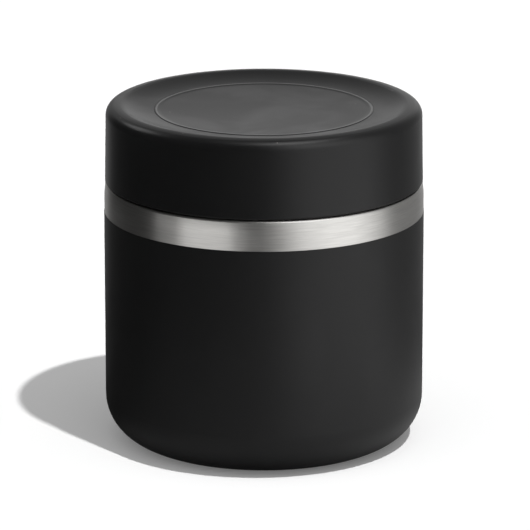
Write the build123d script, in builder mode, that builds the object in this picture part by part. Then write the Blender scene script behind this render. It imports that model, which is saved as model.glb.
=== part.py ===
from build123d import *
import math
import os

os.makedirs("parts", exist_ok=True)

# Wide-mouth vacuum-insulated food jar with a screw lid. Millimetres, +Z up.
# The origin is the middle of the foot, on the surface the jar stands on.

# ---- Driving dimensions: steel body ------------------------------------------------------
tube_radius = 51.95         # steel tube, bare at the band under the lid
shell_wall = 0.6            # gauge of the tube and of the bottom
coat_thickness = 0.1        # powder coat, on the tube below the band
shoulder_height = 86.2      # flat shoulder that the lid closes down to
band_height = 9.7           # from the coat's edge to the shoulder
crown_round = 20.0          # the band's wall leans in under the shoulder
crown_angle = 12.0          # how far it leans, in degrees
shoulder_round = 0.8        # outside round between band and shoulder
neck_height = 14.8          # from the shoulder to the top of the rolled lip
neck_fillet = 1.0           # inside corner between shoulder and neck
bottom_corner = 14.8        # round between wall and foot, over the coat
seam_rise = 2.0             # butt weld of the bottom, above the end of its corner
coat_wrap = 80.0            # degrees of the bottom corner that the coat covers

# ---- Driving dimensions: pressed bottom --------------------------------------------------
foot_width = 2.6            # flat ring that the jar stands on
foot_round = 1.0            # round on the inside of the foot ring
ledge_depth = 1.7           # ledge that the base cover is glued to, above the foot
ledge_width = 3.6
plate_depth = 3.1           # flat middle of the bottom, above the foot
dimple_radius = 5.0         # vacuum dimple in the middle of the plate
dimple_depth = 1.4
port_radius = 1.2           # evacuation hole in the dimple
cover_gauge = 0.5
cover_clearance = 0.4       # between the cover's rim and the foot ring
cover_chamfer = 0.15

# ---- Driving dimensions: getter ----------------------------------------------------------
getter_radius = 4.0
getter_height = 1.8
getter_chamfer = 0.3
getter_offset = 19.0        # from the jar's axis
clip_gauge = 0.3
clip_width = 4.0
clip_foot = 3.0             # length of each welded foot
clip_clearance = 0.2        # between pellet and strap, at each side

# ---- Driving dimensions: inner vessel ----------------------------------------------------
vessel_wall = 0.5
vessel_corner = 15.0        # inside round between wall and floor
side_gap = 4.05             # vacuum between vessel and tube
floor_gap = 3.8             # vacuum between vessel and bottom plate
neck_gap = 1.1              # between vessel and neck
throat_drop = 3.0           # how far the throat starts below the shoulder
throat_height = 5.0         # height over which the vessel narrows to the mouth
lip_round = 1.0             # round on the food side of the lip
lip_edge_round = 0.3        # polished outer edge of the lip

# ---- Driving dimensions: lid -------------------------------------------------------------
lid_gap = 0.5               # open line between shoulder and lid
lid_inset = 0.65            # lid, just under its rim, from the band
lid_draft = 1.0             # draft of the skirt, in degrees
lid_edge_round = 0.4
lid_wall = 2.2              # skirt, just under the rim
rim_round = 3.4             # outside round of the rim
rim_crown_round = 8.8       # flatter round from there up to the crest
rim_crown_angle = 15.0      # how far the flatter round turns, in degrees
crest_round = 5.0           # inside round of the rim, before the dish
crest_angle = 18.0          # slope where the rim meets the dish, in degrees
dish_slope = 5.0            # slope of the land round the disc, in degrees
dish_depth = 2.0            # land's inner edge, below the crest of the rim
dish_wall = 2.6             # thickness at that edge, down to the foam
shell_inside_round = 2.0
disc_land = 1.3             # sloping land between the dish's round and the disc
recess_depth = 1.6          # how deep the disc is let into the dish
disc_slope = 2.5            # slope of its hollow top at the edge, in degrees
disc_seam = 0.08            # open line around the disc
disc_proud = 0.42           # how far the disc's edge stands above the land
disc_edge_round = 0.25      # round on that edge

# ---- Driving dimensions: liner, gasket and foam ------------------------------------------
liner_wall = 1.6
liner_gap = 0.5             # between liner and shell, at the skirt
plug_clearance = 0.7        # between plug and mouth
plug_depth = 5.0            # plug's end, below the lip
plug_round = 1.5
thread_clearance = 1.2      # between neck and skirt: the space that the threads share
flange_thickness = 1.6      # snap flange at the foot of the skirt
flange_rise = 1.0           # flange, above the lid's lower edge
flange_bite = 0.7           # how far the flange snaps into the shell
snap_clearance = 0.1
rib_count = 12
rib_width = 2.0
rib_stop = 2.0              # ribs end this far below the top of the liner
gasket_height = 2.5
gasket_free_gap = 0.05      # between the gasket and what it seals on or seats in
gasket_side_gap = 0.15
gasket_outer_gap = 0.35
gasket_bead_depth = 0.85    # sealing bead under the gasket
gasket_bead_width = 1.8
retainer_radius = 0.4       # bead on the plug that keeps the gasket in place
foam_space = 2.3            # between liner and shell, at the top
foam_gap = 0.4              # between foam and the walls around it

# ---- Places that follow from the sizes above ---------------------------------------------
steel_corner = bottom_corner - coat_thickness
seam_height = steel_corner + seam_rise
foot_inner = tube_radius - steel_corner - foot_width - foot_round
plate_top = plate_depth + shell_wall
coat_top = shoulder_height - band_height
lean = math.radians(crown_angle)
crown_start = shoulder_height - crown_round * math.sin(lean) - shoulder_round * (1 - math.sin(lean))

# The neck takes the width that the lid's walls leave, and the lid's top rises from the lip.
lid_radius = tube_radius - lid_inset
lid_inner_radius = lid_radius - lid_wall
skirt_outer = lid_inner_radius - liner_gap
skirt_radius = skirt_outer - liner_wall
neck_radius = skirt_radius - thread_clearance
mouth_radius = neck_radius - shell_wall - neck_gap - vessel_wall
plug_radius = mouth_radius - plug_clearance
plug_inner = plug_radius - liner_wall

vessel_radius = tube_radius - shell_wall - side_gap - vessel_wall
floor_height = plate_top + floor_gap + vessel_wall
throat_top = shoulder_height - throat_drop
lip_height = shoulder_height + neck_height
neck_end = lip_height - vessel_wall
lip_land = (mouth_radius + lip_round + neck_radius) / 2

lid_bottom = shoulder_height + lid_gap
plug_bottom = lip_height - plug_depth
seat_height = lip_height + gasket_height
liner_top = seat_height + liner_wall
shell_underside = liner_top + foam_space
dish_floor = shell_underside + dish_wall
recess_floor = dish_floor - recess_depth
lid_top = dish_floor + dish_depth
draft = math.radians(lid_draft)
rim_turn = 90 - lid_draft - rim_crown_angle
rim_lean = math.radians(rim_crown_angle)
rim_start = (
    lid_top
    - rim_round * (math.cos(rim_lean) - math.sin(draft))
    - rim_crown_round * (1 - math.cos(rim_lean))
)
lid_foot_radius = lid_radius + (rim_start - lid_bottom) * math.tan(draft)

# The dish's round takes the depth that the crest's round and the sloping land leave.
slope = math.radians(dish_slope)
steep = math.radians(crest_angle)
round_depth = dish_depth - crest_round * (1 - math.cos(steep)) - disc_land * math.tan(slope)
dish_round = round_depth / (math.cos(slope) - math.cos(steep))
crest_radius = (
    lid_radius
    - rim_round * (math.cos(draft) - math.sin(rim_lean))
    - rim_crown_round * math.sin(rim_lean)
)
dish_radius = (
    crest_radius
    - crest_round * math.sin(steep)
    - dish_round * (math.sin(steep) - math.sin(slope))
)
disc_radius = dish_radius - disc_land - disc_seam
disc_lean = math.radians(disc_slope)
disc_hollow = disc_radius / math.sin(disc_lean)
flange_bottom = lid_bottom + flange_rise
flange_top = flange_bottom + flange_thickness
flange_radius = lid_inner_radius + flange_bite
rib_depth = lid_inner_radius - snap_clearance - skirt_radius - liner_wall / 2
gasket_underside = lip_height + gasket_free_gap + gasket_bead_depth
retainer_height = gasket_underside - gasket_side_gap - retainer_radius

# ---- Outer shell: tube, band, shoulder and neck, one sheet drawn by its outside -----------
with BuildPart() as outer_shell:
    with BuildSketch(Plane.XZ):
        with BuildLine():
            tube_line = Line((tube_radius, seam_height), (tube_radius, crown_start))
            crown_arc = JernArc(tube_line @ 1, (0, 1), crown_round, crown_angle)
            shoulder_arc = JernArc(crown_arc @ 1, crown_arc % 1, shoulder_round, 90 - crown_angle)
            shoulder_line = Line(shoulder_arc @ 1, (neck_radius + neck_fillet, shoulder_height))
            neck_arc = JernArc(shoulder_line @ 1, (-1, 0), neck_fillet, -90)
            Line(neck_arc @ 1, (neck_radius, neck_end))
            offset(amount=shell_wall, side=Side.LEFT)
        make_face()
    revolve(axis=Axis.Z)
outer_shell.part.label = "outer_shell"
export_step(outer_shell.part, "parts/outer_shell.step")

# ---- Outer bottom: corner, foot ring, ledge for the cover and vacuum dimple ---------------
with BuildPart() as outer_bottom:
    with BuildSketch(Plane.XZ):
        with BuildLine():
            side_line = Line((tube_radius, seam_height), (tube_radius, steel_corner))
            corner_arc = JernArc(side_line @ 1, (0, -1), steel_corner, -90)
            foot_line = Line(corner_arc @ 1, (foot_inner + foot_round, 0))
            foot_arc = JernArc(foot_line @ 1, (-1, 0), foot_round, -90)
            Polyline(
                foot_arc @ 1,
                (foot_inner, ledge_depth),
                (foot_inner - ledge_width, ledge_depth),
                (foot_inner - ledge_width, plate_depth),
                (dimple_radius, plate_depth),
                (dimple_radius - dimple_depth, plate_depth + dimple_depth),
                (port_radius, plate_depth + dimple_depth),
            )
            offset(amount=shell_wall, side=Side.RIGHT)
        make_face()
    revolve(axis=Axis.Z)
outer_bottom.part.label = "outer_bottom"
export_step(outer_bottom.part, "parts/outer_bottom.step")

# ---- Powder coat: a skin on the tube and round the bottom corner -------------------------
with BuildPart() as powder_coat:
    with BuildSketch(Plane.XZ):
        with BuildLine():
            coat_line = Line((tube_radius, coat_top), (tube_radius, steel_corner))
            JernArc(coat_line @ 1, (0, -1), steel_corner, -coat_wrap)
            offset(amount=coat_thickness, side=Side.LEFT)
        make_face()
    revolve(axis=Axis.Z)
powder_coat.part.label = "powder_coat"
export_step(powder_coat.part, "parts/powder_coat.step")

# ---- Base cover: disc glued to the ledge --------------------------------------------------
with BuildPart() as base_cover:
    with BuildSketch(Plane.XY.offset(ledge_depth - cover_gauge)):
        Circle(foot_inner - cover_clearance)
    extrude(amount=cover_gauge)
    chamfer(base_cover.edges().group_by(Axis.Z)[0], cover_chamfer)
base_cover.part.label = "base_cover"
export_step(base_cover.part, "parts/base_cover.step")

# ---- Vacuum seal: bead of solder that fills the dimple ------------------------------------
with BuildPart() as vacuum_seal:
    with BuildSketch(Plane.XZ):
        Polygon(
            (0, plate_depth),
            (dimple_radius, plate_depth),
            (dimple_radius - dimple_depth, plate_depth + dimple_depth),
            (0, plate_depth + dimple_depth),
            align=None,
        )
    revolve(axis=Axis.Z)
vacuum_seal.part.label = "vacuum_seal"
export_step(vacuum_seal.part, "parts/vacuum_seal.step")

# ---- Getter pellet and its spot-welded strap, on the vacuum side of the plate --------------
getter_plane = Plane((getter_offset, 0, plate_top))
with BuildPart() as getter:
    with BuildSketch(getter_plane):
        Circle(getter_radius)
    extrude(amount=getter_height)
    chamfer(getter.edges().filter_by(GeomType.CIRCLE), getter_chamfer)
getter.part.label = "getter"
export_step(getter.part, "parts/getter.step")

strap_half = getter_radius + clip_clearance
with BuildPart() as getter_clip:
    with BuildSketch(Plane(getter_plane.origin, x_dir=(0, 1, 0), z_dir=(1, 0, 0))):
        with BuildLine():
            Polyline(
                (-strap_half - clip_foot, 0),
                (-strap_half, 0),
                (-strap_half, getter_height),
                (strap_half, getter_height),
                (strap_half, 0),
                (strap_half + clip_foot, 0),
            )
            offset(amount=clip_gauge, side=Side.LEFT)
        make_face()
    extrude(amount=clip_width / 2, both=True)
getter_clip.part.label = "getter_clip"
export_step(getter_clip.part, "parts/getter_clip.step")

# ---- Inner vessel: deep-drawn sheet, drawn by its food side from floor to rolled lip -------
throat_inset = vessel_radius - mouth_radius
throat_angle = 2 * math.degrees(math.atan2(throat_inset, throat_height))
throat_round = throat_height / (2 * math.sin(math.radians(throat_angle)))
with BuildPart() as inner_vessel:
    with BuildSketch(Plane.XZ):
        with BuildLine():
            floor_line = Line((0, floor_height), (vessel_radius - vessel_corner, floor_height))
            floor_arc = JernArc(floor_line @ 1, (1, 0), vessel_corner, 90)
            vessel_line = Line(floor_arc @ 1, (vessel_radius, throat_top - throat_height))
            shoulder_in = JernArc(vessel_line @ 1, (0, 1), throat_round, throat_angle)
            shoulder_out = JernArc(shoulder_in @ 1, shoulder_in % 1, throat_round, -throat_angle)
            mouth_line = Line(shoulder_out @ 1, (mouth_radius, lip_height - lip_round))
            lip_arc = JernArc(mouth_line @ 1, (0, 1), lip_round, -90)
            Line(lip_arc @ 1, (neck_radius, lip_height))
            offset(amount=vessel_wall, side=Side.RIGHT)
        make_face()
    revolve(axis=Axis.Z)
    fillet(inner_vessel.edges().group_by(Axis.Z)[-1].sort_by(SortBy.RADIUS)[-1], lip_edge_round)
inner_vessel.part.label = "inner_vessel"
export_step(inner_vessel.part, "parts/inner_vessel.step")

# ---- Lid shell: drafted skirt, rounded rim, dished top and snap groove ---------------------
with BuildPart() as lid_shell:
    with BuildSketch(Plane.XZ):
        with BuildLine():
            skirt_line = Line((lid_foot_radius, lid_bottom), (lid_radius, rim_start))
            rim_arc = JernArc(skirt_line @ 1, skirt_line % 1, rim_round, rim_turn)
            rim_crown_arc = JernArc(rim_arc @ 1, rim_arc % 1, rim_crown_round, rim_crown_angle)
            crest_arc = JernArc(rim_crown_arc @ 1, rim_crown_arc % 1, crest_round, crest_angle)
            dish_arc = JernArc(crest_arc @ 1, crest_arc % 1, dish_round, dish_slope - crest_angle)
            recess_line = Polyline(
                dish_arc @ 1,
                (disc_radius + disc_seam, dish_floor),
                (disc_radius + disc_seam, recess_floor),
                (0, recess_floor),
                (0, shell_underside),
                (lid_inner_radius - shell_inside_round, shell_underside),
            )
            inside_arc = JernArc(recess_line @ 1, (1, 0), shell_inside_round, -90)
            Polyline(
                inside_arc @ 1,
                (lid_inner_radius, flange_top),
                (flange_radius + snap_clearance, flange_top),
                (flange_radius + snap_clearance, flange_bottom),
                (lid_inner_radius, flange_bottom),
                (lid_inner_radius, lid_bottom),
                skirt_line @ 0,
            )
        make_face()
    revolve(axis=Axis.Z)
    fillet(lid_shell.edges().group_by(Axis.Z)[0], lid_edge_round)
lid_shell.part.label = "lid_shell"
export_step(lid_shell.part, "parts/lid_shell.step")

# ---- Lid top disc: let into the dish, hollow on top, its rounded edge just proud of the land --
with BuildPart() as lid_top_disc:
    with BuildSketch(Plane.XZ):
        with BuildLine():
            hollow_start = (0, dish_floor + disc_proud - disc_hollow * (1 - math.cos(disc_lean)))
            hollow_arc = JernArc(hollow_start, (1, 0), disc_hollow, disc_slope)
            Polyline(hollow_arc @ 1, (disc_radius, recess_floor), (0, recess_floor), hollow_start)
        make_face()
    revolve(axis=Axis.Z)
    fillet(lid_top_disc.edges().group_by(Axis.Z)[-1], disc_edge_round)
lid_top_disc.part.label = "lid_top_disc"
export_step(lid_top_disc.part, "parts/lid_top_disc.step")

# ---- Lid liner: plug with a bead for the gasket, gasket seat, skirt, snap flange and ribs ---
with BuildPart() as lid_liner:
    with BuildSketch(Plane.XZ):
        with BuildLine():
            plug_line = Line((0, plug_bottom), (plug_radius - plug_round, plug_bottom))
            plug_arc = JernArc(plug_line @ 1, (1, 0), plug_round, 90)
            plug_wall = Line(plug_arc @ 1, (plug_radius, retainer_height - retainer_radius))
            retainer_arc = ThreePointArc(
                plug_wall @ 1,
                (plug_radius + retainer_radius, retainer_height),
                (plug_radius, retainer_height + retainer_radius),
            )
            Polyline(
                retainer_arc @ 1,
                (plug_radius, seat_height),
                (skirt_radius, seat_height),
                (skirt_radius, flange_bottom),
                (flange_radius, flange_bottom),
                (flange_radius, flange_top),
                (skirt_outer, flange_top),
                (skirt_outer, liner_top),
                (plug_inner, liner_top),
                (plug_inner, plug_bottom + liner_wall),
                (0, plug_bottom + liner_wall),
                (0, plug_bottom),
            )
        make_face()
    revolve(axis=Axis.Z)
    with BuildSketch(Plane.XY.offset(flange_top)):
        with PolarLocations(skirt_radius + liner_wall / 2, rib_count):
            Rectangle(rib_depth, rib_width, align=(Align.MIN, Align.CENTER))
    extrude(amount=liner_top - flange_top - rib_stop)
lid_liner.part.label = "lid_liner"
export_step(lid_liner.part, "parts/lid_liner.step")

# ---- Lid foam: fills the plug and the space under the shell ---------------------------------
foam_radius = lid_inner_radius - foam_gap
with BuildPart() as lid_foam:
    with BuildSketch(Plane.XZ):
        with BuildLine():
            foam_line = Polyline(
                (0, shell_underside),
                (0, plug_bottom + liner_wall),
                (plug_inner - foam_gap, plug_bottom + liner_wall),
                (plug_inner - foam_gap, liner_top),
                (foam_radius, liner_top),
                (foam_radius, shell_underside - shell_inside_round),
            )
            foam_arc = JernArc(foam_line @ 1, (0, 1), shell_inside_round, 90)
            Line(foam_arc @ 1, foam_line @ 0)
        make_face()
    revolve(axis=Axis.Z)
lid_foam.part.label = "lid_foam"
export_step(lid_foam.part, "parts/lid_foam.step")

# ---- Lid gasket: silicone ring with a sealing bead over the lip -----------------------------
gasket_inner = plug_radius + gasket_side_gap
gasket_outer = skirt_radius - gasket_outer_gap
with BuildPart() as lid_gasket:
    with BuildSketch(Plane.XZ):
        with BuildLine():
            gasket_line = Polyline(
                (lip_land - gasket_bead_width / 2, gasket_underside),
                (gasket_inner, gasket_underside),
                (gasket_inner, seat_height - gasket_free_gap),
                (gasket_outer, seat_height - gasket_free_gap),
                (gasket_outer, gasket_underside),
                (lip_land + gasket_bead_width / 2, gasket_underside),
            )
            ThreePointArc(
                gasket_line @ 1,
                (lip_land, lip_height + gasket_free_gap),
                gasket_line @ 0,
            )
        make_face()
    revolve(axis=Axis.Z)
lid_gasket.part.label = "lid_gasket"
export_step(lid_gasket.part, "parts/lid_gasket.step")
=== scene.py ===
import math

import bmesh
import bpy
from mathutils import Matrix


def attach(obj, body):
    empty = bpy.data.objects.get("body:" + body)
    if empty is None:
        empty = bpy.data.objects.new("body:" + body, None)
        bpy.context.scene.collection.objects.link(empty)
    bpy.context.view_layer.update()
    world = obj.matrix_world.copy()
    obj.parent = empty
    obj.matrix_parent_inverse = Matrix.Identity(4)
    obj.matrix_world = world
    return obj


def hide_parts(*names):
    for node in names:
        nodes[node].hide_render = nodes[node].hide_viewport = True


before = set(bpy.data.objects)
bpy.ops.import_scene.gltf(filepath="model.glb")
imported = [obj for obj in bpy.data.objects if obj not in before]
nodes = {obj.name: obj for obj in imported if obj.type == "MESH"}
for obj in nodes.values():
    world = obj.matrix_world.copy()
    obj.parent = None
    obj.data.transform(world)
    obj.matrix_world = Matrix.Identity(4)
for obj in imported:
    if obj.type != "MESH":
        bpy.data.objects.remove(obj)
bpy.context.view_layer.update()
MM = 0.001

# ---- Camera --------------------------------------------------------------------------------
CAMERA_DISTANCE = 1.5
CAMERA_RISE = math.radians(15.9)     # above the table, looking down at the jar
LOOK_HEIGHT = 57.4 * MM              # point on the jar's axis that the camera looks at
LENS = 311.7                         # millimetres, on a 36 mm sensor
FRAME_SHIFT = 0.0019                 # sets the jar just left of the view's middle

# ---- Light ---------------------------------------------------------------------------------
KEY_SIDE = math.radians(37.8)        # from behind the camera round to its right
KEY_RISE = math.radians(64.4)
KEY_STRENGTH = 2.23
KEY_WIDTH = math.radians(1.5)
FILL_STRENGTH = 0.4
FILL_LEAN = 0.6                      # how much more of the fill comes from the front
WHITE_GROUND = 1.0                   # brightness behind the jar, as camera and gloss see it
FLOOR_SIZE = 40.0
FLOOR_COLOUR = 0.93
FLOOR_GLOW = 0.11                    # pale floor as the camera sees it, over what the lights give

# ---- Tent ----------------------------------------------------------------------------------
# Panels that only gloss reflects, on the walls of a drum-shaped tent round the jar. Angles are
# in degrees: the panel's middle from the front round to the right, half its width, its lower
# and upper edge as seen from the tent's eye point, the softness of its sides and of its ends,
# and its glow.
TENT_RADIUS = 0.6
TENT_HEIGHT = 0.9
TENT_LIFT = 0.1 * MM                 # keeps the drum's bottom off the floor
TENT_SIDES = 128
TENT_EYE = 80 * MM                   # height of the eye point, on the jar's axis
TENT_DARK = 0.03                     # glow between the panels
PANELS = {
    "right box": (50, 34, -30, 62, 20, 12, 1.08),
    "right box, upper": (35, 22, 22, 66, 14, 12, 0.9),
    "key box": (55, 45, 70, 84, 25, 5, 3.0),
    "right wall": (115, 45, -40, 90, 22, 15, 0.2),
    "left wall": (-150, 28, -40, -8, 22, 6, 0.06),
    "front": (-8, 16, -30, 5, 12, 10, 0.08),
    "top": (70, 180, 74, 90, 1, 9, 0.4),
    "top box": (70, 80, 66, 90, 40, 8, 1.9),
    "back": (-178, 33, -40, 52, 12, 10, 0.26),
    "back strip": (174, 17, -8, 16, 8, 4, 0.36),
    "back strip, upper": (174, 17, 10, 20, 8, 4, 0.24),
    "table": (20, 75, -57, -24, 40, 4, 0.31),
    "right table": (80, 60, -59, -35, 30, 4, 0.26),
}

# ---- Lamps that some pieces alone pick up --------------------------------------------------
# Side and rise in degrees and distance of the lamp's middle from the tent's eye point, its
# width and height, its glow, and the pieces that it lights.
BARE_STEEL = ["outer_shell", "shoulder_round"]
LINKED_LAMPS = {
    "band_lamp": (-38, -7, 0.24, 0.15, 0.09, 1.0, BARE_STEEL),
    "wide_band_lamp": (-44, -7, 0.24, 0.3, 0.09, 0.42, BARE_STEEL),
    "right_band_lamp": (50, -7, 0.24, 0.1, 0.09, 0.25, BARE_STEEL),
    "lid_lamp": (-124, 39, 0.5, 0.21, 0.15, 1.7, ["lid_shell"]),
}

# ---- Screw thread --------------------------------------------------------------------------
THREAD_LEAD = 8 * MM                 # rise of one turn, right-hand, two starts
THREAD_FOOT = 2.0 * MM               # width of a ridge where it leaves the wall
THREAD_CREST = 0.8 * MM
THREAD_HEIGHT = 0.95 * MM
THREAD_ROOT = 0.2 * MM               # how far a ridge reaches into the wall
THREAD_ROLL = 0.22 * MM              # width of its rolled edges
THREAD_ROLL_RINGS = 3
THREAD_SHARP = math.radians(30)      # edges sharper than this are rolled
THREAD_SMOOTH = math.radians(60)
THREAD_STEP = math.radians(3)
THREAD_FADE = 8                      # steps over which each end runs out
THREAD_TIP = 0.3                     # how far into the fade an end's tip is, in steps
NECK_THREAD_START = 2.7 * MM         # above the shoulder
NECK_THREAD_STEPS = 100
NECK_WALL = (5 * MM, 20 * MM)        # above the shoulder, where the neck's wall is plain
LID_THREAD_DROP = 1.6 * MM           # lid's ridge, under the neck's
LID_THREAD_TURN = math.radians(76.5)
LID_THREAD_STEPS = 46
SKIRT_WALL = 2 * MM                  # above the shoulder, under which the liner is only its skirt

# ---- Turned pieces -------------------------------------------------------------------------
TURN_STEPS = 256
TURN_SMOOTH = math.radians(50)
MERGE_GAP = 0.001 * MM               # points closer than this become one

# ---- Disc in the lid's top -----------------------------------------------------------------
DISC_HOLLOW = 0.77 * MM              # its middle, below its edge
DISC_RINGS = 24                      # rings of faces across the hollow
DISC_CLEARANCE = 0.15 * MM           # the lid's edge round the disc lies closer to it than this
BEAD_HEIGHT = 0.17 * MM              # fine raised bead round the disc's edge
BEAD_INSIDE = 1.8 * MM               # width of the bead's gentle inner side
BEAD_OUTSIDE = 0.4 * MM
BEAD_RINGS = 8                       # rings of faces on each side of the bead
BEAD_HIGHLIGHT_WIDTH = 0.65 * MM          # painted highlight: a lighter line along the bead
BEAD_HIGHLIGHT_INSET = 1.6 * BEAD_OUTSIDE  # from the disc's edge in to the line's middle
BEAD_HIGHLIGHT_FADE = (0.3, 0.7)          # from its middle, where it starts to fade and is gone, in widths
BEAD_HIGHLIGHT_COLOUR = (0.085, 0.085, 0.085)

# ---- Round of the shoulder -----------------------------------------------------------------
SHOULDER_ROUND = 0.8 * MM            # between band and shoulder
SHOULDER_LEAN = math.radians(12)     # how far the band leans in under it
SHOULDER_SKIN = 0.01 * MM            # how far the turned round stands over the steel
SHOULDER_CORE = 0.5 * MM             # radius of the turned round's inner side
SHOULDER_RINGS = 16
SHOULDER_CORE_STRIDE = 4             # the inner side has a point for every fourth ring
SHOULDER_LEVEL = 0.01 * MM           # points this close to the shoulder's height lie on it
SHOULDER_INSIDE = 50 * MM            # the neck stays within this radius, the shoulder doesn't

# ---- Colours and wear ----------------------------------------------------------------------
BLACK = (0.0052, 0.0052, 0.0054)
WORN_BLACK = (0.0060, 0.0060, 0.0062)
LINER_BLACK = (0.018, 0.018, 0.019)
WORN_LINER = (0.020, 0.020, 0.021)
GASKET_GREY = (0.10, 0.10, 0.11)
WORN_GASKET = (0.12, 0.12, 0.13)
BAND_GREY = (0.62, 0.61, 0.59)
STEEL_GREY = (0.60, 0.60, 0.59)
FOAM_CREAM = (0.80, 0.76, 0.62)
AGED_FOAM = (0.74, 0.66, 0.48)
PELLET_GREY = (0.18, 0.18, 0.19)
SOLDER_GREY = (0.45, 0.44, 0.42)
DUST_GREY = (0.16, 0.15, 0.14)
SKIN_PATCH = 28 * MM                 # size of the handling marks on coat, plastic and silicone
STEEL_PATCH = 22 * MM
FOAM_PATCH = 9 * MM
METAL_PATCH = 3 * MM
PATCH_SPREAD = (0.35, 0.7)           # heights of the noise where a patch starts and is full
RUBBED_SKIN = 0.05                   # how much smoother handled patches are
RUBBED_METAL = 0.12
DULLED_STEEL = 0.03                  # how much duller handled patches of steel are
SPECK_SPACING = 5 * MM
SPECK_CHANCE = 0.6                   # share of the places that stay without a speck
SPECK_SIZE = 0.06                    # largest speck, against the spacing
SPECK_SLOPE = (0.6, 0.95)            # upward part of a normal, where dust starts to lie and all lies
GRAIN_CELLS = 0.5                    # strength of the grain's cells, against its noise
FINE_STREAKS = 40.0                  # streaks along a fine brushed line, in one turn
BROAD_STREAKS = 24.0
BROAD_LINES = 6                      # width of the broad brushed lines, against the fine ones
BROAD_SHARE = 0.5                    # strength of the broad lines, against the fine ones
LINE_SPREAD = (0.45, 1.05)           # heights of the darkest and of the lightest line
LIGHT_LINE = 1.12                    # colour of the lightest line, against the plain steel
DARK_LINE = 0.86
LINE_ROUGHNESS = 0.1                 # how much rougher a line of height 1 is
LINE_MEAN_ROUGHNESS = 0.075          # what the lines add on average, taken off again
CELL_WALL_SHADE = 0.8                # colour between the foam's cells, against their middles
FOAM_ROUGHNESS = (0.85, 0.95)        # fresh and aged
LUMP_SPREAD = (0.4, 0.9)             # heights of rough metal's darkest and lightest places
HOLLOW_PAINTED_SHADE = 0.6                   # painted shade: colour of its hollows, against its high places
COVER_TOP = 2 * MM                   # the base cover lies below this height
COAT_FOOT_GAP = 0.2 * MM             # from the base cover out to the coat's edge
COAT_RAGGED = 0.12 * MM              # how uneven the coat's edge is
COAT_RAGGED_SIZE = 0.8 * MM
COAT_FADE = 0.03 * MM
FOOT_COAT_ROUGHNESS = 0.5


# ---- Small helpers -------------------------------------------------------------------------
def deselect():
    bpy.ops.object.select_all(action="DESELECT")


def name_active(name):
    """Names the object that an operator has just made, and its mesh."""
    piece = bpy.context.object
    piece.name = name
    piece.data.name = name
    return piece


def ring_radius(node, low, high, outside=True):
    """Largest or smallest distance from the axis on a CAD node between two heights, in metres."""
    radii = [v.co.xy.length for v in nodes[node].data.vertices if low <= v.co.z <= high]
    return max(radii) if outside else min(radii)


def shoulder_height():
    """Height of the flat that the lid closes down to, in metres."""
    steel = [v.co for v in nodes["outer_shell"].data.vertices]
    return max(co.z for co in steel if co.xy.length > SHOULDER_INSIDE)


def pick(piece, test):
    """In edit mode, selects the vertices whose places pass the test, and what they bound."""
    mesh = bmesh.from_edit_mesh(piece.data)
    for vertex in mesh.verts:
        vertex.select = bool(test(vertex.co))
    mesh.select_flush_mode()
    bmesh.update_edit_mesh(piece.data)


# ---- Shader nodes --------------------------------------------------------------------------
def feed(tree, made, inputs):
    """Sets or links the inputs of a shader node."""
    for key, value in inputs.items():
        if isinstance(value, bpy.types.NodeSocket):
            tree.links.new(value, made.inputs[key])
        else:
            made.inputs[key].default_value = value


def add(tree, kind, inputs=None, **options):
    """Adds a shader node, sets its options, and sets or links its inputs."""
    made = tree.nodes.new("ShaderNode" + kind)
    for option, value in options.items():
        setattr(made, option, value)
    feed(tree, made, inputs or {})
    return made


def calculate(tree, operation, *values):
    """Output of a Math node; each value is a number or a socket."""
    return add(tree, "Math", dict(enumerate(values)), operation=operation).outputs[0]


def vectors(tree, operation, *values):
    """Vector output of a Vector Math node."""
    return add(tree, "VectorMath", dict(enumerate(values)), operation=operation).outputs["Vector"]


def ramp(tree, value, low, high, to_low=0.0, to_high=1.0):
    """The value, brought smoothly from one range to another."""
    inputs = {"Value": value, "From Min": low, "From Max": high, "To Min": to_low, "To Max": to_high}
    return add(tree, "MapRange", inputs, interpolation_type="SMOOTHSTEP").outputs["Result"]


def mix(tree, share, first, second):
    """Colour between two colours."""
    return add(tree, "Mix", {0: share, 6: first, 7: second}, data_type="RGBA").outputs[2]


def blend(tree, share, first, second):
    """Number between two numbers."""
    return add(tree, "Mix", {0: share, 2: first, 3: second}).outputs[0]


def part_of(tree, vector, axis):
    """One of a vector's three parts."""
    return add(tree, "SeparateXYZ", {0: vector}).outputs[axis]


def flatten(tree, place):
    """The place, brought down to the table."""
    return vectors(tree, "MULTIPLY", place, (1, 1, 0))


def from_axis(tree, flat):
    """How far a flattened place is from the jar's axis."""
    return add(tree, "VectorMath", {0: flat}, operation="LENGTH").outputs["Value"]


# ---- Effects that several finishes share ---------------------------------------------------
SOCKETS = {"number": "NodeSocketFloat", "vector": "NodeSocketVector"}


def effect(name, takes, gives):
    """An empty node group with named inputs, and the one named number that it puts out."""
    group = bpy.data.node_groups.new(name, "ShaderNodeTree")
    for label, kind in takes.items():
        group.interface.new_socket(name=label, in_out="INPUT", socket_type=SOCKETS[kind])
    group.interface.new_socket(name=gives, in_out="OUTPUT", socket_type=SOCKETS["number"])
    inputs = group.nodes.new("NodeGroupInput").outputs
    output = group.nodes.new("NodeGroupOutput").inputs[gives]
    return group, inputs, output


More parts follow.
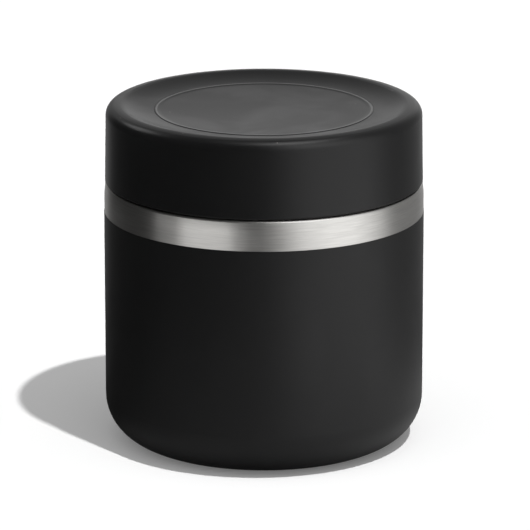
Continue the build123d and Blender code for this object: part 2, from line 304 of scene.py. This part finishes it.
def build_turned_lines():
    """Fine lines round the jar's axis, on walls and flat faces alike."""
    group, takes, lines = effect(
        "Turned Lines",
        {"Place": "vector", "Line Width": "number", "Streaks per Turn": "number"},
        "Lines",
    )
    flat = flatten(group, takes["Place"])
    height = part_of(group, takes["Place"], "Z")
    travel = calculate(group, "ADD", height, from_axis(group, flat))
    across = calculate(group, "DIVIDE", travel, takes["Line Width"])
    lifted = add(group, "CombineXYZ", {"Z": across}).outputs[0]
    around = vectors(group, "NORMALIZE", flat)
    cells = calculate(group, "DIVIDE", takes["Streaks per Turn"], 2 * math.pi)
    around = add(group, "VectorMath", {0: around, "Scale": cells}, operation="SCALE").outputs["Vector"]
    place = vectors(group, "ADD", around, lifted)
    noise = add(group, "TexNoise", {"Vector": place, "Scale": 1.0, "Detail": 3.0, "Roughness": 0.6})
    group.links.new(noise.outputs["Fac"], lines)
    return group


def build_fine_grain():
    """Soft close grain of a spark-eroded mould or of baked powder."""
    group, takes, height = effect(
        "Fine Grain", {"Place": "vector", "Grain Size": "number"}, "Height"
    )
    scale = calculate(group, "DIVIDE", 1.0, takes["Grain Size"])
    noise = add(group, "TexNoise", {"Vector": takes["Place"], "Scale": scale, "Detail": 2.0})
    cells = add(group, "TexVoronoi", {"Vector": takes["Place"], "Scale": scale}, feature="SMOOTH_F1")
    cells = cells.outputs["Distance"]
    both = calculate(group, "MULTIPLY_ADD", cells, GRAIN_CELLS, noise.outputs["Fac"])
    group.links.new(both, height)
    return group


def build_handling():
    """Broad soft patches where hands and cloths have been."""
    group, takes, patches = effect(
        "Handling", {"Place": "vector", "Patch Size": "number"}, "Patches"
    )
    scale = calculate(group, "DIVIDE", 1.0, takes["Patch Size"])
    inputs = {"Vector": takes["Place"], "Scale": scale, "Detail": 4.0, "Distortion": 0.6}
    noise = add(group, "TexNoise", inputs)
    group.links.new(ramp(group, noise.outputs["Fac"], *PATCH_SPREAD), patches)
    return group


def build_dust():
    """Sparse small specks that lie on faces turned up."""
    group, takes, specks = effect(
        "Dust", {"Place": "vector", "Speck Spacing": "number"}, "Specks"
    )
    scale = calculate(group, "DIVIDE", 1.0, takes["Speck Spacing"])
    cells = add(group, "TexVoronoi", {"Vector": takes["Place"], "Scale": scale})
    chance = add(group, "SeparateColor", {0: cells.outputs["Color"]}).outputs["Red"]
    size = ramp(group, chance, SPECK_CHANCE, 1.0, to_high=SPECK_SIZE)
    speck = calculate(group, "LESS_THAN", cells.outputs["Distance"], size)
    upward = part_of(group, add(group, "NewGeometry").outputs["Normal"], "Z")
    lies = ramp(group, upward, *SPECK_SLOPE)
    group.links.new(calculate(group, "MULTIPLY", speck, lies), specks)
    return group


TURNED_LINES = build_turned_lines()
FINE_GRAIN = build_fine_grain()
HANDLING = build_handling()
DUST = build_dust()


# ---- Kinds of finish -----------------------------------------------------------------------
def spaced(values):
    """The same values, with spaces in their names as on the nodes."""
    return {label.replace("_", " "): value for label, value in values.items()}


def new_finish(name, **shader_values):
    """A material whose constant values are set on its own shader."""
    material = bpy.data.materials.new(name)
    material.use_nodes = True
    tree = material.node_tree
    shader = tree.nodes["Principled BSDF"]
    feed(tree, shader, spaced(shader_values))
    place = add(tree, "TexCoord").outputs["Object"]
    return material, tree, shader, place


def use(tree, group, place, **values):
    """Places an effect in a material, with its own values."""
    made = tree.nodes.new("ShaderNodeGroup")
    made.node_tree = group
    feed(tree, made, {"Place": place, **spaced(values)})
    return made.outputs[0]


def bump(tree, shader, height, depth):
    """A Bump node in metres."""
    inputs = {"Height": height, "Strength": 1.0, "Distance": depth}
    normal = add(tree, "Bump", inputs).outputs["Normal"]
    tree.links.new(normal, shader.inputs["Normal"])


def shaded(colour, share):
    """A colour made darker or lighter."""
    return tuple(min(1.0, share * c) for c in colour)


def matt_skin(name, colour, worn, roughness, grain_size, grain_depth, specular):
    """Powder coat, moulded plastic or silicone: close grain, handling marks and a little dust."""
    material, tree, shader, place = new_finish(name, Specular_IOR_Level=specular)
    patches = use(tree, HANDLING, place, Patch_Size=SKIN_PATCH)
    specks = use(tree, DUST, place, Speck_Spacing=SPECK_SPACING)
    shade = mix(tree, patches, (*colour, 1), (*worn, 1))
    tree.links.new(mix(tree, specks, shade, (*DUST_GREY, 1)), shader.inputs["Base Color"])
    rough = ramp(tree, patches, 0.0, 1.0, roughness, roughness - RUBBED_SKIN)
    tree.links.new(rough, shader.inputs["Roughness"])
    grain = use(tree, FINE_GRAIN, place, Grain_Size=grain_size)
    bump(tree, shader, grain, grain_depth)
    return material


def turned_steel(name, colour, roughness, line_width, line_depth, stretch):
    """Stainless steel brushed or turned round the jar's axis."""
    material, tree, shader, place = new_finish(
        name, Metallic=1.0, Anisotropic=stretch, Anisotropic_Rotation=0.25
    )
    broad_width = BROAD_LINES * line_width
    fine = use(tree, TURNED_LINES, place, Line_Width=line_width, Streaks_per_Turn=FINE_STREAKS)
    broad = use(tree, TURNED_LINES, place, Line_Width=broad_width, Streaks_per_Turn=BROAD_STREAKS)
    lines = calculate(tree, "MULTIPLY_ADD", broad, BROAD_SHARE, fine)
    patches = use(tree, HANDLING, place, Patch_Size=STEEL_PATCH)
    dark = shaded(colour, DARK_LINE)
    light = shaded(colour, LIGHT_LINE)
    share = ramp(tree, lines, *LINE_SPREAD)
    tree.links.new(mix(tree, share, (*dark, 1), (*light, 1)), shader.inputs["Base Color"])
    rough = calculate(tree, "MULTIPLY_ADD", lines, LINE_ROUGHNESS, roughness - LINE_MEAN_ROUGHNESS)
    rough = calculate(tree, "MULTIPLY_ADD", patches, DULLED_STEEL, rough)
    tree.links.new(rough, shader.inputs["Roughness"])
    bump(tree, shader, lines, line_depth)
    tangent = add(tree, "Tangent", direction_type="RADIAL", axis="Z").outputs[0]
    tree.links.new(tangent, shader.inputs["Tangent"])
    return material


def poured_foam(name, colour, aged, cell_size, cell_depth):
    """Foam with small closed cells, aged in patches."""
    material, tree, shader, place = new_finish(name, Specular_IOR_Level=0.2)
    cells = add(tree, "TexVoronoi", {"Vector": place, "Scale": 1 / cell_size}).outputs["Distance"]
    patches = use(tree, HANDLING, place, Patch_Size=FOAM_PATCH)
    shade = mix(tree, cells, (*colour, 1), (*shaded(colour, CELL_WALL_SHADE), 1))
    tree.links.new(mix(tree, patches, shade, (*aged, 1)), shader.inputs["Base Color"])
    tree.links.new(ramp(tree, patches, 0.0, 1.0, *FOAM_ROUGHNESS), shader.inputs["Roughness"])
    bump(tree, shader, cells, cell_depth)
    return material


def rough_metal(name, colour, roughness, lump_size, lump_depth):
    """Sintered pellet or solder bead: uneven, dull, with painted shade in its hollows."""
    material, tree, shader, place = new_finish(name, Metallic=1.0)
    lumps = use(tree, FINE_GRAIN, place, Grain_Size=lump_size)
    patches = use(tree, HANDLING, place, Patch_Size=METAL_PATCH)
    raised = ramp(tree, lumps, *LUMP_SPREAD)
    # painted shade: hollows darker than the high places
    shade = mix(tree, raised, (*shaded(colour, HOLLOW_PAINTED_SHADE), 1), (*colour, 1))
    tree.links.new(shade, shader.inputs["Base Color"])
    rough = ramp(tree, patches, 0.0, 1.0, roughness, roughness - RUBBED_METAL)
    tree.links.new(rough, shader.inputs["Roughness"])
    bump(tree, shader, lumps, lump_depth)
    return material


# ---- Finishes of the jar -------------------------------------------------------------------
def powder_coat():
    return matt_skin(
        "black_powder_coat", BLACK, WORN_BLACK,
        roughness=0.45, grain_size=0.3 * MM, grain_depth=0.01 * MM, specular=0.35,
    )


def lid_plastic(name):
    return matt_skin(
        name, BLACK, WORN_BLACK,
        roughness=0.34, grain_size=0.22 * MM, grain_depth=0.004 * MM, specular=0.35,
    )


def disc_plastic(disc_radius):
    """The lid's plastic, with a painted highlight: a lighter line along the fine bead."""
    material = lid_plastic("black_lid_disc")
    tree = material.node_tree
    colour = tree.nodes["Principled BSDF"].inputs["Base Color"]
    plain = colour.links[0].from_socket
    place = add(tree, "TexCoord").outputs["Object"]
    radius = from_axis(tree, flatten(tree, place))
    outwards = calculate(tree, "SUBTRACT", radius, disc_radius - BEAD_HIGHLIGHT_INSET)
    away = calculate(tree, "ABSOLUTE", outwards)
    start, end = BEAD_HIGHLIGHT_FADE
    # painted highlight: lighter colour in a line along the bead
    painted_highlight = ramp(tree, away, start * BEAD_HIGHLIGHT_WIDTH, end * BEAD_HIGHLIGHT_WIDTH, 1.0, 0.0)
    tree.links.new(mix(tree, painted_highlight, plain, (*BEAD_HIGHLIGHT_COLOUR, 1)), colour)
    return material


def liner_plastic():
    return matt_skin(
        "liner_plastic", LINER_BLACK, WORN_LINER,
        roughness=0.4, grain_size=0.3 * MM, grain_depth=0.004 * MM, specular=0.4,
    )


def gasket_silicone():
    return matt_skin(
        "gasket_silicone", GASKET_GREY, WORN_GASKET,
        roughness=0.5, grain_size=0.5 * MM, grain_depth=0.003 * MM, specular=0.45,
    )


def band_steel():
    return turned_steel(
        "brushed_band_steel", BAND_GREY,
        roughness=0.32, line_width=0.09 * MM, line_depth=0.002 * MM, stretch=0.7,
    )


def vessel_steel():
    return turned_steel(
        "vessel_steel", STEEL_GREY,
        roughness=0.26, line_width=0.14 * MM, line_depth=0.0012 * MM, stretch=0.6,
    )


def pressed_steel(name):
    return turned_steel(
        name, STEEL_GREY,
        roughness=0.3, line_width=0.16 * MM, line_depth=0.002 * MM, stretch=0.6,
    )


def coated_bottom():
    """Pressed steel, under black coat from the foot ring outwards."""
    material = pressed_steel("bottom_steel")
    tree = material.node_tree
    inputs = tree.nodes["Principled BSDF"].inputs
    place = add(tree, "TexCoord").outputs["Object"]
    radius = from_axis(tree, flatten(tree, place))
    ragged = add(tree, "TexNoise", {"Vector": place, "Scale": 1 / COAT_RAGGED_SIZE}).outputs["Fac"]
    edge = calculate(tree, "MULTIPLY_ADD", ragged, COAT_RAGGED, radius)
    coat_radius = ring_radius("base_cover", 0, COVER_TOP) + COAT_FOOT_GAP
    coated = ramp(tree, edge, coat_radius - COAT_FADE, coat_radius + COAT_FADE)
    steel = inputs["Base Color"].links[0].from_socket
    tree.links.new(mix(tree, coated, steel, (*BLACK, 1)), inputs["Base Color"])
    bare = inputs["Roughness"].links[0].from_socket
    tree.links.new(blend(tree, coated, bare, FOOT_COAT_ROUGHNESS), inputs["Roughness"])
    tree.links.new(calculate(tree, "SUBTRACT", 1.0, coated), inputs["Metallic"])
    return material


def cream_foam():
    return poured_foam(
        "lid_foam", FOAM_CREAM, AGED_FOAM, cell_size=0.5 * MM, cell_depth=0.15 * MM
    )


def getter_alloy():
    return rough_metal(
        "getter_alloy", PELLET_GREY, roughness=0.75, lump_size=0.12 * MM, lump_depth=0.02 * MM
    )


def seal_braze():
    return rough_metal(
        "seal_braze", SOLDER_GREY, roughness=0.5, lump_size=0.9 * MM, lump_depth=0.05 * MM
    )


BAND_STEEL = band_steel()
COVER_STEEL = pressed_steel("base_cover_steel")
BLACK_LID = lid_plastic("black_lid_plastic")
BLACK_LINER = liner_plastic()
FINISH_OF_NODE = {
    "outer_shell": BAND_STEEL,
    "outer_bottom": coated_bottom(),
    "base_cover": COVER_STEEL,
    "powder_coat": powder_coat(),
    "inner_vessel": vessel_steel(),
    "vacuum_seal": seal_braze(),
    "getter": getter_alloy(),
    "getter_clip": COVER_STEEL,
    "lid_shell": BLACK_LID,
    "lid_top_disc": BLACK_LID,
    "lid_liner": BLACK_LINER,
    "lid_foam": cream_foam(),
    "lid_gasket": gasket_silicone(),
}
for node, finish in FINISH_OF_NODE.items():
    nodes[node].data.materials.clear()
    nodes[node].data.materials.append(finish)


# ---- Threads -------------------------------------------------------------------------------
ABOUT_AXIS = {"orient_axis": "Z", "center_override": (0, 0, 0)}


def thread_rise(turn):
    """How far a ridge climbs over an angle."""
    return THREAD_LEAD * turn / (2 * math.pi)


def thread_size(step, steps):
    """Size of a ridge's section: full along the ridge, small at its two ends."""
    share = min(1.0, (min(step, steps - step) + THREAD_TIP) / THREAD_FADE)
    return math.sin(share * math.pi / 2)


def lay_section(name, wall_radius, outwards, foot_height):
    """A ridge's section as one upright face with its foot in the wall, left in edit mode."""
    deselect()
    bpy.ops.mesh.primitive_plane_add(size=1, rotation=(math.pi / 2, 0, 0))
    bpy.ops.object.transform_apply(rotation=True)
    ridges = name_active(name)
    bpy.ops.object.mode_set(mode="EDIT")
    bpy.ops.mesh.select_mode(type="VERT")
    bpy.ops.mesh.select_all(action="SELECT")
    depth = THREAD_HEIGHT + THREAD_ROOT
    bpy.ops.transform.resize(value=(depth, 1, THREAD_FOOT))
    pick(ridges, lambda co: co.x * outwards > 0)
    bpy.ops.transform.resize(value=(1, 1, THREAD_CREST / THREAD_FOOT))
    bpy.ops.mesh.select_all(action="SELECT")
    middle = wall_radius + outwards * (depth / 2 - THREAD_ROOT)
    bpy.ops.transform.translate(value=(middle, 0, foot_height))
    return ridges


def wind_section(wall_radius, foot_height, turned, steps):
    """Extrudes the section step by step up the wall, running out at both ends."""
    bpy.ops.transform.rotate(value=-turned, **ABOUT_AXIS)
    rise = thread_rise(THREAD_STEP)
    bpy.ops.mesh.select_mode(type="FACE")
    size = 1.0
    for step in range(steps + 1):
        if step:
            bpy.ops.mesh.extrude_region_move()
            bpy.ops.transform.rotate(value=-THREAD_STEP, **ABOUT_AXIS)
            bpy.ops.transform.translate(value=(0, 0, rise))
        angle = turned + step * THREAD_STEP
        root = (
            wall_radius * math.cos(angle),
            wall_radius * math.sin(angle),
            foot_height + step * rise,
        )
        growth = thread_size(step, steps) / size
        bpy.ops.transform.resize(value=(growth, growth, growth), center_override=root)
        size *= growth


def add_second_start():
    """Copies the ridge to the opposite side of the wall, and leaves edit mode."""
    bpy.ops.mesh.select_all(action="SELECT")
    bpy.ops.mesh.duplicate()
    bpy.ops.transform.rotate(value=math.pi, **ABOUT_AXIS)
    bpy.ops.mesh.select_all(action="SELECT")
    bpy.ops.mesh.normals_make_consistent(inside=False)
    bpy.ops.object.mode_set(mode="OBJECT")


def roll_edges(ridges):
    bevel = ridges.modifiers.new("rolled edges", "BEVEL")
    bevel.width = THREAD_ROLL
    bevel.segments = THREAD_ROLL_RINGS
    bevel.limit_method = "ANGLE"
    bevel.angle_limit = THREAD_SHARP
    bpy.ops.object.modifier_apply(modifier=bevel.name)
    bpy.ops.object.shade_smooth_by_angle(angle=THREAD_SMOOTH)


def wind_ridges(name, wall_radius, outwards, foot_height, turned, steps):
    """Two opposite screw ridges on a round wall."""
    ridges = lay_section(name, wall_radius, outwards, foot_height)
    wind_section(wall_radius, foot_height, turned, steps)
    add_second_start()
    roll_edges(ridges)
    return ridges


def build_neck_thread():
    shoulder = shoulder_height()
    low, high = NECK_WALL
    neck_radius = ring_radius("outer_shell", shoulder + low, shoulder + high)
    start = shoulder + NECK_THREAD_START
    ridges = wind_ridges("neck_thread", neck_radius, 1, start, 0.0, NECK_THREAD_STEPS)
    ridges.data.materials.append(BAND_STEEL)
    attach(ridges, "jar")


def build_lid_thread():
    shoulder = shoulder_height()
    skirt_radius = ring_radius("lid_liner", 0, shoulder + SKIRT_WALL, outside=False)
    start = shoulder + NECK_THREAD_START + thread_rise(LID_THREAD_TURN) - LID_THREAD_DROP
    ridges = wind_ridges("lid_thread", skirt_radius, -1, start, LID_THREAD_TURN, LID_THREAD_STEPS)
    ridges.data.materials.append(BLACK_LINER)
    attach(ridges, "lid")


build_neck_thread()
build_lid_thread()


# ---- Turned pieces -------------------------------------------------------------------------
def turn_profile(name, points):
    """A round piece, turned about the jar's axis from the points of its outline."""
    deselect()
    bpy.ops.mesh.primitive_plane_add(size=MM)
    piece = name_active(name)
    bpy.ops.object.mode_set(mode="EDIT")
    bpy.ops.mesh.select_mode(type="VERT")
    bpy.ops.mesh.select_all(action="SELECT")
    bpy.ops.mesh.merge(type="CENTER")
    bpy.ops.transform.translate(value=(points[0][0], 0, points[0][1]))
    for before, after in zip(points, points[1:]):
        bpy.ops.mesh.extrude_vertices_move()
        bpy.ops.transform.translate(value=(after[0] - before[0], 0, after[1] - before[1]))
    bpy.ops.mesh.select_all(action="SELECT")
    bpy.ops.mesh.spin(steps=TURN_STEPS, angle=2 * math.pi, center=(0, 0, 0), axis=(0, 0, 1))
    bpy.ops.mesh.select_all(action="SELECT")
    bpy.ops.mesh.remove_doubles(threshold=MERGE_GAP)
    bpy.ops.mesh.normals_make_consistent(inside=False)
    bpy.ops.object.mode_set(mode="OBJECT")
    bpy.ops.object.shade_smooth_by_angle(angle=TURN_SMOOTH)
    return piece


def ease(share):
    """From 0 to 1, level at both ends."""
    return (1 - math.cos(math.pi * share)) / 2


def disc_outline(disc_radius):
    """From the disc's middle out: radius, and the bead's rise there as a share of its height."""
    bead_start = disc_radius - BEAD_OUTSIDE - BEAD_INSIDE
    shares = [ring / BEAD_RINGS for ring in range(BEAD_RINGS + 1)]
    hollow = [(bead_start * ring / DISC_RINGS, 0.0) for ring in range(DISC_RINGS)]
    inner = [(bead_start + share * BEAD_INSIDE, ease(share)) for share in shares[:-1]]
    outer = [(disc_radius - share * BEAD_OUTSIDE, ease(share)) for share in reversed(shares)]
    return hollow + inner + outer


def build_disc():
    """The disc with its fine bead, its edge level with the lid round it."""
    plain_disc = [v.co for v in nodes["lid_top_disc"].data.vertices]
    disc_radius = max(co.xy.length for co in plain_disc)
    foot = min(co.z for co in plain_disc)
    shell = [v.co for v in nodes["lid_shell"].data.vertices]
    edge = max(co.z for co in shell if math.hypot(co.x, co.y) < disc_radius + DISC_CLEARANCE)
    top = []
    for radius, bead in disc_outline(disc_radius):
        sunk = DISC_HOLLOW * (1 - (radius / disc_radius) ** 2)
        top.append((radius, edge - sunk + bead * BEAD_HEIGHT))
    disc = turn_profile("beaded_disc", [*top, (disc_radius, foot), (0, foot)])
    disc.data.materials.append(disc_plastic(disc_radius))
    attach(disc, "lid")
    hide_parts("lid_top_disc")


def build_shoulder_round():
    """The smooth round between band and shoulder, turned over the steel's own."""
    shoulder = shoulder_height()
    centre = ring_radius("outer_shell", shoulder - SHOULDER_LEVEL, shoulder + SHOULDER_LEVEL)
    sweep = math.pi / 2 - SHOULDER_LEAN
    angles = [SHOULDER_LEAN + sweep * ring / SHOULDER_RINGS for ring in range(SHOULDER_RINGS + 1)]
    outer = [(SHOULDER_ROUND + SHOULDER_SKIN, angle) for angle in angles]
    inner = [(SHOULDER_CORE, angle) for angle in angles[::-SHOULDER_CORE_STRIDE]]
    outline = []
    for size, angle in outer + inner:
        height = shoulder - SHOULDER_ROUND + size * math.sin(angle)
        outline.append((centre + size * math.cos(angle), height))
    edge = turn_profile("shoulder_round", [*outline, outline[0]])
    edge.data.materials.append(BAND_STEEL)
    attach(edge, "jar")


build_disc()
build_shoulder_round()


# ---- Table, light and camera ---------------------------------------------------------------
def build_floor():
    deselect()
    bpy.ops.mesh.primitive_plane_add(size=FLOOR_SIZE)
    floor = name_active("floor")
    material, tree, shader, _ = new_finish("floor", Roughness=1.0, Specular_IOR_Level=0.0)
    shader.inputs["Base Color"].default_value = (FLOOR_COLOUR, FLOOR_COLOUR, FLOOR_COLOUR, 1)
    shader.inputs["Emission Color"].default_value = (1, 1, 1, 1)
    seen = add(tree, "LightPath").outputs["Is Camera Ray"]
    tree.links.new(calculate(tree, "MULTIPLY", seen, FLOOR_GLOW), shader.inputs["Emission Strength"])
    floor.data.materials.append(material)


def panel_share(tree, side, rise, middle, half, low, high, side_soft, end_soft):
    """Where one panel is, from 0 to 1 over its soft edges."""
    turned = calculate(tree, "WRAP", calculate(tree, "SUBTRACT", side, middle), 180.0, -180.0)
    turned = calculate(tree, "ABSOLUTE", turned)
    across = ramp(tree, turned, half - side_soft, half + side_soft, 1.0, 0.0)
    above = ramp(tree, rise, low - end_soft, low + end_soft)
    below = ramp(tree, rise, high - end_soft, high + end_soft, 1.0, 0.0)
    return calculate(tree, "MULTIPLY", across, calculate(tree, "MULTIPLY", above, below))


def tent_cloth():
    """Black cloth with glowing panels, placed by their angles from the tent's eye point."""
    material, tree, shader, place = new_finish("tent", Roughness=1.0, Specular_IOR_Level=0.0)
    shader.inputs["Base Color"].default_value = (0, 0, 0, 1)
    shader.inputs["Emission Color"].default_value = (1, 1, 1, 1)
    seen = vectors(tree, "NORMALIZE", vectors(tree, "SUBTRACT", place, (0, 0, TENT_EYE)))
    parts = add(tree, "SeparateXYZ", {0: seen}).outputs
    front = calculate(tree, "MULTIPLY", parts["Y"], -1.0)
    side = calculate(tree, "DEGREES", calculate(tree, "ARCTAN2", parts["X"], front))
    rise = calculate(tree, "DEGREES", calculate(tree, "ARCSINE", parts["Z"]))
    glow = TENT_DARK
    for *edges, strength in PANELS.values():
        panel = panel_share(tree, side, rise, *edges)
        glow = calculate(tree, "MULTIPLY_ADD", panel, strength, glow)
    tree.links.new(glow, shader.inputs["Emission Strength"])
    return material


def build_tent():
    """The panels round the jar, on one closed drum that only gloss sees."""
    deselect()
    bpy.ops.mesh.primitive_cylinder_add(
        vertices=TENT_SIDES,
        radius=TENT_RADIUS,
        depth=TENT_HEIGHT,
        location=(0, 0, TENT_HEIGHT / 2 + TENT_LIFT),
    )
    bpy.ops.object.transform_apply(location=True)
    tent = name_active("tent")
    tent.data.materials.append(tent_cloth())
    tent.visible_camera = False
    tent.visible_diffuse = False
    tent.visible_shadow = False
    tent.visible_transmission = False


def build_world():
    """White ground for camera, gloss and glass, and for the rest a fill that leans to the front."""
    world = bpy.data.worlds.new("studio")
    bpy.context.scene.world = world
    world.use_nodes = True
    tree = world.node_tree
    path = add(tree, "LightPath").outputs
    seen = calculate(tree, "MAXIMUM", path["Is Camera Ray"], path["Is Glossy Ray"])
    seen = calculate(tree, "MAXIMUM", seen, path["Is Transmission Ray"])
    away = part_of(tree, add(tree, "TexCoord").outputs["Generated"], "Y")
    fill = calculate(tree, "MULTIPLY_ADD", away, -FILL_LEAN * FILL_STRENGTH, FILL_STRENGTH)
    background = tree.nodes["Background"]
    background.inputs["Color"].default_value = (1, 1, 1, 1)
    tree.links.new(blend(tree, seen, fill, WHITE_GROUND), background.inputs["Strength"])


def build_key():
    deselect()
    bpy.ops.object.light_add(type="SUN", rotation=(math.pi / 2 - KEY_RISE, 0, KEY_SIDE))
    key = name_active("key")
    key.data.energy = KEY_STRENGTH
    key.data.angle = KEY_WIDTH
    key.visible_glossy = False       # the tent's panels are what gloss shows


def build_linked_lamps():
    """Lamps in the tent that only the named pieces receive."""
    for name, (side, rise, distance, width, height, glow, lit) in LINKED_LAMPS.items():
        side = math.radians(side)
        rise = math.radians(rise)
        reach = distance * math.cos(rise)
        lamp_height = TENT_EYE + distance * math.sin(rise)
        deselect()
        bpy.ops.object.light_add(
            type="AREA",
            location=(reach * math.sin(side), -reach * math.cos(side), lamp_height),
            rotation=(math.pi / 2 - rise, 0, side),
        )
        lamp = name_active(name)
        lamp.data.shape = "RECTANGLE"
        lamp.data.size = width
        lamp.data.size_y = height
        lamp.data.energy = glow * math.pi * width * height
        lamp.visible_camera = False
        receivers = bpy.data.collections.new(name + "_receivers")
        for piece in lit:
            receivers.objects.link(bpy.data.objects[piece])
        lamp.light_linking.receiver_collection = receivers


def build_camera():
    deselect()
    back = CAMERA_DISTANCE * math.cos(CAMERA_RISE)
    height = LOOK_HEIGHT + CAMERA_DISTANCE * math.sin(CAMERA_RISE)
    bpy.ops.object.camera_add(location=(0, -back, height), rotation=(math.pi / 2 - CAMERA_RISE, 0, 0))
    camera = name_active("camera")
    camera.data.lens = LENS
    camera.data.shift_x = FRAME_SHIFT
    camera.data.clip_end = 2 * FLOOR_SIZE
    bpy.context.scene.camera = camera


build_floor()
build_tent()
build_world()
build_key()
build_linked_lamps()
build_camera()
bpy.context.scene.view_settings.view_transform = "Standard"
